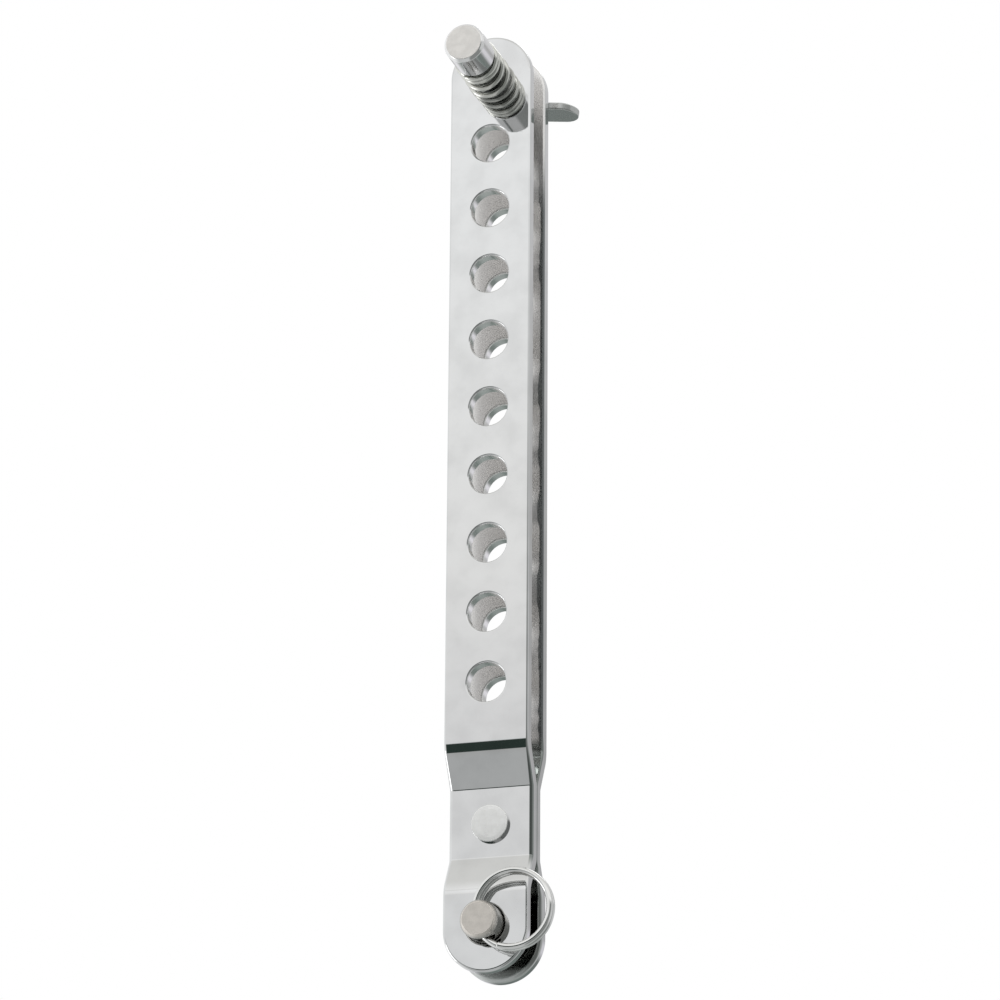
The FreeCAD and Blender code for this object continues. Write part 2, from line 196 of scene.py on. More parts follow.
def swept(spread: Array) -> tuple[Array, Array]:
    """Return the cosine and sine of angles in degrees."""
    return np.cos(np.radians(spread)), np.sin(np.radians(spread))


def full_turn(steps: int) -> Array:
    """Return even angles in degrees, all the way round."""
    return np.linspace(0, 360, steps + 1)


def stretched_between(hole: Array, outline: Array, rows: int) -> Array:
    """Return rows of points from a hole's rim to an outline, each as far along as its row says."""
    share = np.linspace(0, 1, rows)[:, None, None]
    return hole * (1 - share) + outline * share


def rounded_line(corners: list[Span], rounds: tuple[float, ...], steps: int = 6) -> Array:
    """Run along straight lines with their corners rounded.

    At each corner the line leaves the straight where a circle of the corner's radius touches both
    sides, radius times the tangent of half the turn before it, and turns evenly about that circle's
    centre. Where the radius is 0 the corner's place comes twice, with each side's direction.

    Args:
        corners: The line's corners in a plane.
        rounds: The radius of each inner corner.
        steps: Steps round each rounded corner.

    Returns:
        Rows of the place and the direction on the line's left.
    """
    line = np.array(corners, dtype=float)
    ways = unit(np.diff(line, axis=0))
    lefts = joined(-ways[:, 1], ways[:, 0])
    rows = [np.concatenate([line[0], lefts[0]])[None]]
    for corner, way, left, following, radius in zip(line[1:-1], ways[:-1], lefts[:-1], ways[1:], rounds):
        turn = math.atan2(way[0] * following[1] - way[1] * following[0], float(way @ following))
        angles = np.linspace(0, turn, steps + 1 if radius else 2)
        side = math.copysign(1.0, turn)
        centre = corner - way * radius * math.tan(abs(turn) / 2) + left * radius * side
        leaning = np.outer(np.cos(angles), left) - np.outer(np.sin(angles), way)
        rows.append(np.concatenate([centre - leaning * radius * side, leaning], axis=1))
    rows.append(np.concatenate([line[-1], lefts[-1]])[None])
    return np.concatenate(rows)


def edge_section(thickness: float, outer: Array | float, inner: Array | float) -> tuple[Array, Array, Array, Array]:
    """Return a sheet's edge from outer to inner face, with a quarter circle at each face.

    Inset is the radius less its sine, and the lift falls by the radius less its cosine.

    Args:
        thickness: The sheet's thickness.
        outer: The rounding's radius on the outer face, one for each row or for all.
        inner: The same on the inner face.

    Returns:
        Inset and lift, rows by steps, and the lean out and up at each step.
    """
    cosine, sine = swept(np.linspace(0, 90, 6))
    outer, inner = np.asarray(outer)[..., None], np.asarray(inner)[..., None]
    inset = np.concatenate([outer * (1 - sine), inner * (1 - sine[::-1])], axis=-1)
    lift = np.concatenate([thickness / 2 - outer * (1 - cosine), inner * (1 - cosine[::-1]) - thickness / 2], axis=-1)
    return inset, lift, np.concatenate([sine, sine[::-1]]), np.concatenate([cosine, -cosine[::-1]])


def turn_about_y(skin: Skin, section: Array, angles: Array) -> None:
    """Turn a section about the Y axis: radius times the cosine and sine of the angle, in X and Z.

    Args:
        skin: Where the surface goes.
        section: Rows of the place along Y, the radius, and the outward direction in the same plane.
        angles: The angles of the surface's columns in degrees, from +X towards +Z.
    """
    across, up = swept(angles)
    along, radius, lean_along, lean_out = (column[:, None] for column in section.T)
    skin.add(joined(radius * across, along, radius * up), joined(lean_out * across, lean_along, lean_out * up))


def round_wire(skin: Skin, path: Array, size: float, sides: int, broken: float = 0.35) -> None:
    """Carry a circle along a path, with both ends cut off flat and their edges broken.

    Each place is the path's plus the wire's radius times the cosine and sine of the angle, along
    the path's own side and rise directions. At an end the radius shrinks by a quarter circle, and
    the cut closes on the path.

    Args:
        skin: Where the surface goes.
        path: Rows of the place on the path.
        size: The wire's diameter.
        sides: Faces round the wire.
        broken: The quarter circle's size as a share of the wire's radius.
    """
    radius, bevel = size / 2, size / 2 * broken
    ways = unit(np.gradient(path, axis=0))
    side = unit(np.cross(ways, [0.0, 1.0, 0.0]))
    rise = np.cross(ways, side)
    cosine, sine = swept(np.linspace(0, 90, 5))
    start = np.concatenate([[[0.0, 0.0, 1.0]], joined(radius - bevel + bevel * sine, bevel - bevel * cosine, cosine)])
    straight = np.tile([radius, 0.0, 0.0], (len(path) - 2, 1))
    reach, shift, lean = np.concatenate([start, straight, start[::-1] * np.array([1.0, -1.0, -1.0])]).T
    row = np.clip(np.arange(len(reach)) + 1 - len(start), 0, len(path) - 1)
    round_cos, round_sin = swept(full_turn(sides))
    outward = side[row, None] * round_cos[None, :, None] + rise[row, None] * round_sin[None, :, None]
    centre = path[row] + ways[row] * shift[:, None]
    points = centre[:, None] + outward * reach[:, None, None]
    directions = outward * np.sqrt(1 - lean**2)[:, None, None] - ways[row, None] * lean[:, None, None]
    length = np.concatenate([[0], np.cumsum(np.linalg.norm(np.diff(path, axis=0), axis=1))])[row] + shift
    skin.add(points, directions, joined(length[:, None], np.linspace(0, math.pi * size, sides + 1)) * MM)


# Shader graphs


def math_method(operation: str, reflected: bool = False) -> Callable[..., "Signal"]:
    """Make a method of Signal that adds one Math node.

    Args:
        operation: The node's operation.
        reflected: Whether the signal is the last of the terms, as in 1 - signal.

    Returns:
        The method, which takes the other terms.
    """
    def method(self: "Signal", *others: "Signal | float") -> "Signal":
        """Add the node on the signal and the other terms."""
        terms = (*others, self) if reflected else (self, *others)
        made = self.graph.node("ShaderNodeMath", {"operation": operation}, dict(enumerate(terms)))
        return Signal(self.graph, made.outputs[0])
    return method


@dataclass(frozen=True)
class Signal:
    """A number inside a shader, which takes part in sums as a Python number does."""

    graph: "Graph"
    socket: Socket

    __add__, __radd__ = math_method("ADD"), math_method("ADD", reflected=True)
    __sub__, __rsub__ = math_method("SUBTRACT"), math_method("SUBTRACT", reflected=True)
    __mul__, __rmul__ = math_method("MULTIPLY"), math_method("MULTIPLY", reflected=True)
    __pow__ = math_method("POWER")
    root, sine, most = math_method("SQRT"), math_method("SINE"), math_method("MAXIMUM")

    def step(self, low: float, high: float) -> "Signal":
        """Go smoothly from 0 at low to 1 at high."""
        made = self.graph.node("ShaderNodeMapRange", {"interpolation_type": "SMOOTHSTEP"},
                               {"Value": self, "From Min": low, "From Max": high})
        return Signal(self.graph, made.outputs[0])

    def within(self, *spans: Span) -> "Signal":
        """Multiply the steps over several spans."""
        return math.prod((self.step(*span) for span in spans[1:]), start=self.step(*spans[0]))


@dataclass(frozen=True)
class Grain:
    """A smooth noise from 0 to 1 over places in metres, whose axes may be stretched first."""

    scale: float
    detail: float = 2.0
    roughness: float = 0.5
    stretch: Place | None = None


@dataclass(frozen=True)
class Graph:
    """The nodes of one material or of the world."""

    tree: bpy.types.NodeTree

    @classmethod
    def of(cls, owner: "bpy.types.Material | bpy.types.World") -> "Graph":
        """Turn on an owner's nodes and clear them."""
        owner.use_nodes = True
        owner.node_tree.nodes.clear()
        return cls(owner.node_tree)

    def node(self, kind: str, settings: dict[str, object] | None = None,
             inputs: dict[str | int, object] | None = None) -> bpy.types.Node:
        """Add a node, set it up, and fill or link its sockets.

        Args:
            kind: The node's type.
            settings: Properties to set first; "stops" is a ramp's list of place and colour.
            inputs: Values, sockets or signals by socket name or number.

        Returns:
            The new node.
        """
        made = self.tree.nodes.new(kind)
        for name, value in (settings or {}).items():
            if name == "stops":
                ramp = made.color_ramp
                while len(ramp.elements) < len(value):
                    ramp.elements.new(1.0)
                for element, (place, colour) in zip(ramp.elements, value):
                    element.position, element.color = place, (*colour, 1.0)
            else:
                setattr(made, name, value)
        for key, value in (inputs or {}).items():
            socket = made.inputs[key]
            if isinstance(value, (Signal, Socket)):
                self.tree.links.new(value.socket if isinstance(value, Signal) else value, socket)
            elif socket.type == "RGBA" and len(value) == 3:
                socket.default_value = (*value, 1.0)
            else:
                socket.default_value = value
        return made

    def axes(self, vector: Socket) -> tuple[Signal, Signal, Signal]:
        """Split a vector into its three numbers."""
        split = self.node("ShaderNodeSeparateXYZ", inputs={0: vector})
        return tuple(Signal(self, output) for output in split.outputs)

    def stretched(self, vector: Socket, factors: Place) -> Socket:
        """Scale a vector along its axes."""
        return self.node("ShaderNodeVectorMath", {"operation": "MULTIPLY"}, {0: vector, 1: factors}).outputs[0]

    def ramp(self, place: Signal, stops: Stops) -> Socket:
        """Turn a number from 0 to 1 into a colour."""
        return self.node("ShaderNodeValToRGB", {"stops": stops}, {0: place}).outputs["Color"]

    def mix(self, share: Signal, first: Socket | Colour, second: Socket | Colour) -> Socket:
        """Mix two colours, the second by share."""
        return self.node("ShaderNodeMix", {"data_type": "RGBA"}, {0: share, 6: first, 7: second}).outputs[2]

    def noise(self, place: Socket, grain: Grain) -> Signal:
        """Read a noise at a place."""
        vector = self.stretched(place, grain.stretch) if grain.stretch else place
        made = self.node("ShaderNodeTexNoise", inputs={
            "Vector": vector, "Scale": grain.scale, "Detail": grain.detail, "Roughness": grain.roughness})
        return Signal(self, made.outputs["Fac"])

    def blend(self, share: Signal | Socket, first: bpy.types.Node, second: bpy.types.Node) -> bpy.types.Node:
        """Mix two shaders, the second by share."""
        return self.node("ShaderNodeMixShader", inputs={0: share, 1: first.outputs[0], 2: second.outputs[0]})


# Finishes


def scaled(colour: Colour, factor: float) -> Colour:
    """Make a colour darker or lighter."""
    return tuple(share * factor for share in colour)


@dataclass
class Finish:
    """A metal as far as it is worked out. Its places are millimetres, and so is the height of its relief."""

    graph: Graph
    place: Socket
    normal: Socket
    across: Signal
    along: Signal
    up: Signal
    plain_roughness: float
    colour: Socket
    rough: Signal
    relief: Signal

    def tint(self, share: Signal, colour: Socket | Colour) -> None:
        """Lay a colour over the finish, by share."""
        self.colour = self.graph.mix(share, self.colour, colour)

    def radius(self, centre_up: float) -> Signal:
        """Return the distance from an axis along Y at this height."""
        return (self.across * self.across + (self.up - centre_up) ** 2.0).root()


class Marks(Enum):
    """What the last tool or handling left: noises, each with its share of the height and whether it follows UV."""

    POLISHED = ((Grain(3200.0, 3.0, 0.6, (1.0, 1.0, 0.06)), 0.2, False), (Grain(260.0, 1.0), 1.0, False))
    TURNED = ((Grain(6000.0, stretch=(0.02, 1.0, 0.02)), 1.0, False),)
    DRAWN = ((Grain(9000.0, stretch=(0.04, 1.0, 1.0)), 1.0, True),)
    TUMBLED = ((Grain(900.0, 1.5), 1.0, False),)


@dataclass(frozen=True)
class CutEnd:
    """A matt end face, cut square to the Y axis, with fine rings and blotches.

    Its mask rises from the depth behind its place to where full_depth of that is left, and falls
    from the reach to full_reach of it.
    """

    place: float
    depth: float
    centre_up: float
    reach: float
    tint: Colour
    roughness: float = 0.42
    full_depth: float = 0.2
    full_reach: float = 0.97
    blotches: Grain = Grain(700.0, 4.0, 0.6)
    blotch_span: Span = (0.3, 0.7)
    blotch_pale: float = 1.14
    blotch_roughness: float = 0.12
    grit: Grain = Grain(5200.0, 3.0, 0.7)
    rings: float = 26.0
    ring_wander: float = 3.0
    ring_height: float = 0.0015
    grit_height: float = 0.004
    blotch_height: float = 0.004

    def lay(self, finish: Finish) -> None:
        """Lay the face over the finish."""
        graph, radius = finish.graph, finish.radius(self.centre_up)
        face = finish.along.step(self.place + self.depth, self.place + self.depth * self.full_depth)
        face = face * radius.step(self.reach, self.reach * self.full_reach)
        blotch, grit = (graph.noise(finish.place, grain) for grain in (self.blotches, self.grit))
        ring = (radius * self.rings + blotch * self.ring_wander).sine() * 0.5 + 0.5
        finish.tint(face, graph.mix(blotch.step(*self.blotch_span), self.tint, scaled(self.tint, self.blotch_pale)))
        finish.rough += face * (self.roughness - finish.plain_roughness + self.blotch_roughness * blotch)
        height = ring * self.ring_height + grit * self.grit_height + blotch * self.blotch_height
        finish.relief = finish.relief * (1 - face) + face * height


@dataclass(frozen=True)
class NeckShade:
    """The thin part of a pin along Y inside its spring, darkened with painted shade."""

    front: float
    back: float
    centre_up: float
    reach: float
    # Painted shade: a dark tint that stands in for the spring's shade on the neck.
    tint: Colour = (0.26, 0.27, 0.26)
    fade: float = 0.2
    margins: Span = (1.12, 1.04)

    def lay(self, finish: Finish) -> None:
        """Lay the neck's painted shade over the finish."""
        thin = finish.radius(self.centre_up).step(*(self.reach * margin for margin in self.margins))
        between = finish.along.within((self.front, self.front + self.fade), (self.back, self.back - self.fade))
        finish.tint(thin * between, self.tint)


@dataclass(frozen=True)
class Inside:
    """The inner faces between the two plates. In the channel they have a duller finish, which no wheel reached after
    bending. Painted shade darkens the fork's inner faces, the channel's edges, the right rims at the bends and the
    bends' crooks, and painted light brightens the walls of the channel's holes and the fork's open foot.

    A span is where a mask is 0 and where it is 1. Facing is the place along Y times the direction
    along Y, which is below 0 on an inner face.
    """

    facing: Span = (-0.4, -2.0)
    relief_left: float = 0.1
    channel: Span = (26.0, 30.0)
    channel_tint: Colour = (0.83, 0.82, 0.81)
    channel_roughness: float = 0.26
    # Painted shade: the fork's inner faces are darkened where the plates shade each other.
    fork_shade_tint: Colour = (0.36, 0.37, 0.36)
    fork_roughness: float = 0.03
    blots: Grain = Grain(160.0, 3.0, stretch=(0.5, 1.0, 1.0))
    # Painted light: the fork's inner faces turn lighter and rougher towards their open foot.
    lit_foot: Span = (-2.6, -4.2)
    lit_foot_wander: float = 3.0
    lit_foot_tint: Colour = (0.62, 0.64, 0.63)
    lit_foot_roughness: float = 0.32
    break_span: Span = (0.42, 0.68)
    break_swing: float = 0.09
    break_phase: float = 2.2
    break_across: Span = (3.7, 4.3)
    break_share: float = 0.6
    # Painted shade: a dark, wandering band along the channel's inner edges.
    edge: Span = (5.9, 6.15)
    edge_wander: float = 0.45
    edge_top: Span = (131.0, 117.0)
    edge_shade_tint: Colour = (0.17, 0.18, 0.18)
    # Painted shade: the right rims at the bends and the inner faces at the bends' crooks are darkened.
    bend_heights: Spans = ((31.0, 24.0), (8.5, 11.0))
    bend_sideways: Spans = ((0.12, 0.32), (0.99, 0.90))
    crook_heights: Spans = ((31.0, 29.0), (8.0, 10.0))
    crook_facing: Span = (-0.02, -0.25)
    rim_shade_tint: Colour = (0.24, 0.26, 0.25)
    # Painted highlight: the walls of the channel's holes are lighter than the plate.
    wall_reach: Span = (3.74, 3.4)
    wall_lean: Span = (0.2, 0.03)
    wall_top: Span = (143.5, 143.0)
    wall_highlight_tint: Colour = (0.93, 0.93, 0.92)
    wall_roughness: float = 0.15

    def lay(self, finish: Finish) -> None:
        """Lay the inside's finish, with its painted shade and painted light, over the inner faces, the bent rims
        and the walls of the channel's holes.

        On a wall the direction has no part along Y, and the place is near the middle line. The
        channel's edge gets a dark painted shade, which breaks into its face by blots that come more often at each
        pitch.
        """
        graph, across, up = finish.graph, finish.across, finish.up
        sideways, lean, _ = graph.axes(finish.normal)
        facing = finish.along * lean
        inner, channel = facing.step(*self.facing), up.step(*self.channel)
        fork = inner * (1 - channel)
        wall = (lean * lean).step(*self.wall_lean) * channel * up.step(*self.wall_top)
        wall = wall * (across * across).step(*(reach**2 for reach in self.wall_reach))
        blots = graph.noise(finish.place, self.blots)
        # Painted shade along the channel's edges, broken into the face by blots.
        swing = (up * (math.tau / PITCH) + self.break_phase).sine() * self.break_swing
        breaks = (blots + swing).step(*self.break_span)
        edge = (across + breaks * self.edge_wander).step(*self.edge)
        edge = edge.most(breaks * across.step(*self.break_across) * self.break_share) * up.step(*self.edge_top)
        # Painted light towards the fork's open foot, with a wandering boundary.
        lit_foot = fork * (up + blots * self.lit_foot_wander).step(*self.lit_foot)
        # Painted shade on the right rims at the bends.
        finish.tint(up.within(*self.bend_heights) * sideways.within(*self.bend_sideways), self.rim_shade_tint)
        # Painted shade on the fork's inner faces. The channel keeps its own lighter finish, with painted shade along
        # its edges.
        channel_colour = graph.mix(edge, self.channel_tint, self.edge_shade_tint)
        finish.tint(inner, graph.mix(channel, self.fork_shade_tint, channel_colour))
        # Painted highlight on the walls of the channel's holes.
        finish.tint(wall, self.wall_highlight_tint)
        # Painted light: the lighter tint towards the fork's foot.
        finish.tint(lit_foot, self.lit_foot_tint)
        # Painted shade on the inner faces at the bends' crooks.
        finish.tint(facing.step(*self.crook_facing) * up.within(*self.crook_heights), self.rim_shade_tint)
        matt = self.fork_roughness + channel * (self.channel_roughness - self.fork_roughness)
        rough = finish.rough + inner * (matt - finish.plain_roughness)
        rough = rough + wall * (self.wall_roughness - finish.plain_roughness)
        finish.rough = rough * (1 - fork) + fork * self.fork_roughness + lit_foot * self.lit_foot_roughness
        finish.relief = finish.relief * (1 - (inner + wall) * (1 - self.relief_left))


@dataclass(frozen=True)
class Steel:
    """One finish of stainless steel: metal whose tint, roughness and relief all wander a little.

    The cloud's two shares of the roughness are the least, and how much the cloud adds.
    """

    name: str
    tint: Colour
    roughness: float
    marks: Marks
    mark_height: float
    layers: tuple[CutEnd | NeckShade | Inside, ...] = ()
    cloud: Grain = Grain(180.0, 3.0)
    cloud_span: Span = (0.35, 0.75)
    cloud_dulling: float = 0.9
    cloud_shares: tuple[float, float] = (0.75, 0.5)
    specks: Grain = Grain(2600.0)
    speck_span: Span = (0.55, 0.8)
    speck_roughness: float = 0.03

    def material(self) -> bpy.types.Material:
        """Make the material, with its layers laid over the plain metal in order."""
        made = bpy.data.materials.new(self.name)
        graph = Graph.of(made)
        sources = graph.node("ShaderNodeTexCoord").outputs
        place = sources["Object"]
        cloud, specks = (graph.noise(place, grain) for grain in (self.cloud, self.specks))
        least, added = self.cloud_shares
        rough = self.roughness * (least + added * cloud) + self.speck_roughness * specks.step(*self.speck_span)
        colour = graph.mix(cloud.step(*self.cloud_span), self.tint, scaled(self.tint, self.cloud_dulling))
        reliefs = [graph.noise(sources["UV"] if mapped else place, grain) * (share * self.mark_height)
                   for grain, share, mapped in self.marks.value]
        axes = graph.axes(graph.stretched(place, (1 / MM, 1 / MM, 1 / MM)))
        finish = Finish(graph, place, sources["Normal"], *axes, self.roughness, colour, rough,
                        sum(reliefs[1:], reliefs[0]))
        for layer in self.layers:
            layer.lay(finish)
        bump = graph.node("ShaderNodeBump", inputs={"Strength": 1.0, "Distance": MM, "Height": finish.relief})
        shader = graph.node("ShaderNodeBsdfPrincipled", inputs={
            "Metallic": 1.0, "Base Color": finish.colour, "Roughness": finish.rough, "Normal": bump.outputs[0]})
        graph.node("ShaderNodeOutputMaterial", inputs={"Surface": shader.outputs[0]})
        return made


PLATE_STEEL = Steel("polished_plate", (0.745, 0.748, 0.75), 0.04, Marks.POLISHED, 0.0016, (Inside(),))
# The rivet's darker body tint is painted shade on the heads' sides; the heads' domed faces keep a lighter tint.
RIVET_STEEL = Steel("rivet_steel", (0.60, 0.60, 0.60), 0.10, Marks.TUMBLED, 0.0030, tuple(
    CutEnd(side * 3.0, side * -0.14, RIVET_HEIGHT, 2.95, (0.83, 0.83, 0.82), 0.24) for side in (-1, 1)))
CLEVIS_STEEL = Steel("clevis_pin_steel", (0.48, 0.47, 0.45), 0.26, Marks.TURNED, 0.0010,
                     (CutEnd(-8.5, 0.7, 0.0, 3.3, (0.735, 0.695, 0.65)),))
# The fast pin's neck inside its spring carries painted shade.
FAST_STEEL = Steel("fast_pin_steel", (0.88, 0.88, 0.88), 0.11, Marks.TURNED, 0.0008,
                   (CutEnd(-19.5, 0.12, TOP_HOLE, 2.92, (0.81, 0.79, 0.765)), NeckShade(-13.9, -4.7, TOP_HOLE, 2.1)))
RING_STEEL = Steel("ring_wire", (0.83, 0.83, 0.82), 0.06, Marks.DRAWN, 0.0003)
SPRING_STEEL = Steel("spring_wire", (0.74, 0.74, 0.70), 0.16, Marks.DRAWN, 0.0001)
TOGGLE_STEEL = Steel("toggle_steel", (0.60, 0.61, 0.60), 0.24, Marks.TUMBLED, 0.004)
TOGGLE_RIVET_STEEL = Steel("toggle_rivet_steel", (0.68, 0.68, 0.67), 0.18, Marks.TUMBLED, 0.002)


def finish_piece(piece: Object, steel: Steel, slot: str, body: str, *nodes: str) -> Object:
    """Dress a piece, let it ride on its body, and stand it in for CAD nodes."""
    piece.data.materials.append(steel.material())
    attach(piece, body)
    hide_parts(*nodes)
    LOG.info("%s: %d faces", piece.name, len(piece.data.polygons))
    return piece


# The parts


class Side(Enum):
    """Which of the two plates it is, as the sign of its place along Y."""

    FRONT = -1
    REAR = 1


@dataclass(frozen=True)
class Cell:
    """A flat stretch of a plate about one hole, with its mid-line's distance from the middle."""

    top: float
    bottom: float
    middle: float
    hole_height: float
    hole_radius: float
    round_top: bool = False
    round_bottom: bool = False


def upright(levels: Array, middle: float) -> Array:
    """Return rows of a mid-line at these levels: distance from the middle, level, and a lean straight out."""
    return joined(middle, levels, 1.0, 0.0)


@dataclass
class Plate:
    """A strip bent in at the riveted flat, with round ends, rounded rims and its row of holes."""

    side: Side
    half_width: float = 6.7
    thickness: float = 2.2
    rim_rounds: Four = (0.45, 0.75, 0.75, 0.4)
    inner_rounds: Four = (0.8, 0.25, 0.25, 0.4)
    hole_round: float = 0.28
    channel_middle: float = 4.0
    flat_middle: float = 1.1
    fork_middle: float = 3.7
    bend_levels: Four = (27.568, 21.968, 10.521, 5.721)
    bend_radii: Four = (4.1, 1.6, 1.6, 4.1)
    top_centre: float = 139.2
    bottom_centre: float = -0.7
    top_hole: float = TOP_HOLE
    pitch: float = PITCH
    hole_count: int = 10
    hole_radius: float = 3.1
    rivet_height: float = RIVET_HEIGHT
    rivet_radius: float = 2.0
    columns: int = 24
    bend_steps: int = 12
    gap_rows: int = 6
    face_rows: int = 3

    def bends(self) -> list[Array]:
        """Return the mid-line through the upper and the lower two bends, as rows from top to bottom."""
        upper, flat_top, flat_bottom, lower = self.bend_levels
        corners = [(self.channel_middle, self.top_centre), (self.channel_middle, upper), (self.flat_middle, flat_top),
                   (self.flat_middle, flat_bottom), (self.fork_middle, lower), (self.fork_middle, self.bottom_centre)]
        return np.split(rounded_line(corners, self.bend_radii, self.bend_steps)[1:-1], 2)

    def cells(self) -> list[Cell]:
        """Return the flat stretches about holes, from top to bottom."""
        upper, lower = self.bends()
        levels = [self.top_hole - self.pitch * index for index in range(self.hole_count)]
        row = [Cell(level + self.pitch / 2, level - self.pitch / 2, self.channel_middle, level, self.hole_radius)
               for level in levels]
        row[0] = replace(row[0], top=self.top_centre, round_top=True)
        flat = Cell(upper[-1, 1], lower[0, 1], self.flat_middle, self.rivet_height, self.rivet_radius)
        fork = Cell(lower[-1, 1], self.bottom_centre, self.fork_middle, 0.0, self.hole_radius, round_bottom=True)
        return row + [flat, fork]

    def gap(self) -> Array:
        """Return the mid-line's rows from the channel's last cell to the bend."""
        levels = np.linspace(self.cells()[-3].bottom, self.bends()[0][0, 1], self.gap_rows)
        return upright(levels, self.channel_middle)

    def beside(self, cell: Cell) -> Array:
        """Return the mid-line's rows beside a cell."""
        steps = self.columns // 2 if cell.round_top or cell.round_bottom else self.columns
        return upright(np.linspace(cell.top, cell.bottom, steps + 1), cell.middle)

    def stations(self) -> Array:
        """Return every level at which the rim has a point, as rows of the mid-line from top to bottom."""
        upper, lower = self.bends()
        *channel, flat, fork = self.cells()
        rows = np.concatenate([*map(self.beside, channel), self.gap()[1:-1], upper, self.beside(flat)[1:-1], lower,
                               self.beside(fork)[1:]])
        apart = np.linalg.norm(np.diff(rows[:, :2], axis=0), axis=1) > 1e-6
        return rows[np.concatenate([[True], apart])]

    def place(self, across: Array, row: Array, lift: Array | float) -> Array:
        """Put points on the strip: across it, at a row of the mid-line, lifted along its lean."""
        along = self.side.value * (row[..., 0] + lift * row[..., 2])
        return joined(across, along, row[..., 1] + lift * row[..., 3])

    def lean(self, row: Array) -> Array:
        """Return the outer face's direction at rows of the mid-line."""
        return joined(0.0, self.side.value * row[..., 2], row[..., 3])

    def rounds(self, levels: Array) -> tuple[Array, Array]:
        """Return the rim's rounding on the outer and the inner face at these levels, changing along the bends."""
        upper, lower = self.bends()
        knots = [lower[-1, 1], lower[0, 1], upper[-1, 1], upper[0, 1]]
        return np.interp(levels, knots, self.rim_rounds), np.interp(levels, knots, self.inner_rounds)

    def outline(self, cell: Cell, levels: Array, reach: Array) -> Array:
        """Return a cell's outline clockwise from its top left: across the top, down, back and up.

        Args:
            cell: The flat stretch.
            levels: The levels of its sides' points, from the top.
            reach: How far the face reaches to each side there.

        Returns:
            Rows of the place across and the level.
        """
        spread = np.linspace(-1, 1, self.columns + 1)
        ends = {False: (spread, 0 * spread), True: swept(np.linspace(180, 0, 2 * self.columns + 1))}
        (top_over, top_rise), (bottom_over, bottom_rise) = ends[cell.round_top], ends[cell.round_bottom]
        top = joined(reach[0] * top_over, cell.top + reach[0] * top_rise)
        bottom = joined(-reach[-1] * bottom_over, cell.bottom - reach[-1] * bottom_rise)
        return np.concatenate([top[:-1], joined(reach, levels)[:-1], bottom[:-1], joined(-reach, levels)[::-1]])

    def add_cell(self, skin: Skin, cell: Cell) -> None:
        """Cover a flat stretch on both faces, from its hole's rim to its own outline, and line the hole.

        A face's point lies between a point of the outline and the point of the hole's circle in the
        same direction from the hole's centre. The wall is that circle carried along the edge section.
        """
        levels = self.beside(cell)[:, 1]
        outer, inner = (self.outline(cell, levels, self.half_width - rounding) for rounding in self.rounds(levels))
        angle = np.arctan2(outer[:, 1] - cell.hole_height, outer[:, 0])
        cosine, sine = np.cos(angle), np.sin(angle)
        rim = joined(cosine, sine) * (cell.hole_radius + self.hole_round) + np.array([0.0, cell.hole_height])
        for lift, outline in ((self.thickness / 2, outer), (-self.thickness / 2, inner)):
            sheet = stretched_between(rim, outline, self.face_rows)
            row = upright(sheet[..., 1], cell.middle)
            skin.add(self.place(sheet[..., 0], row, lift), self.lean(row) * np.sign(lift))
        section = edge_section(self.thickness, self.hole_round, self.hole_round)
        inset, lift, out, up = (part[:, None] for part in section)
        radius = cell.hole_radius + inset
        row = upright(cell.hole_height + radius * sine, cell.middle)
        directions = self.lean(row) * up[..., None] - joined(cosine, 0.0, sine) * out[..., None]
        skin.add(self.place(radius * cosine, row, lift), directions)

    def add_rows(self, skin: Skin, rows: Array) -> None:
        """Cover both faces between rows of the mid-line, straight across the strip."""
        spread = np.linspace(-1, 1, self.columns + 1)
        for lift, rounding in zip((self.thickness / 2, -self.thickness / 2), self.rounds(rows[:, 1])):
            points = self.place((self.half_width - rounding)[:, None] * spread, rows[:, None], lift)
            skin.add(points, self.lean(rows)[:, None] * np.sign(lift))

    def add_rim(self, skin: Skin) -> None:
        """Carry the rounded edge section round the outline: down both sides, and round the top and the foot."""
        rows = self.stations()
        inset, lift, out, up = edge_section(self.thickness, *self.rounds(rows[:, 1]))
        for sign in (1, -1):
            directions = self.lean(rows)[:, None] * up[:, None] + np.array([sign, 0, 0]) * out[:, None]
            skin.add(self.place(sign * (self.half_width - inset), rows[:, None], lift), directions)
        for centre, middle, start in ((self.top_centre, self.channel_middle, 180.0),
                                      (self.bottom_centre, self.fork_middle, 360.0)):
            cosine, sine = swept(np.linspace(start, start - 180.0, 2 * self.columns + 1)[:, None])
            inset, lift, out, up = edge_section(self.thickness, *self.rounds(np.array([centre])))
            radius = self.half_width - inset
            row = upright(centre + radius * sine, middle)
            directions = self.lean(row) * up[:, None] + joined(cosine, 0.0, sine) * out[:, None]
            skin.add(self.place(radius * cosine, row, lift), directions)

    def build(self) -> Object:
        """Make the plate."""
        skin = Skin()
        for cell in self.cells():
            self.add_cell(skin, cell)
        for rows in (self.gap(), *self.bends()):
            self.add_rows(skin, rows)
        self.add_rim(skin)
        name = self.side.name.lower() + "_plate"
        return finish_piece(skin.mesh("polished_" + name), PLATE_STEEL, "polished_plate", "plates", name)


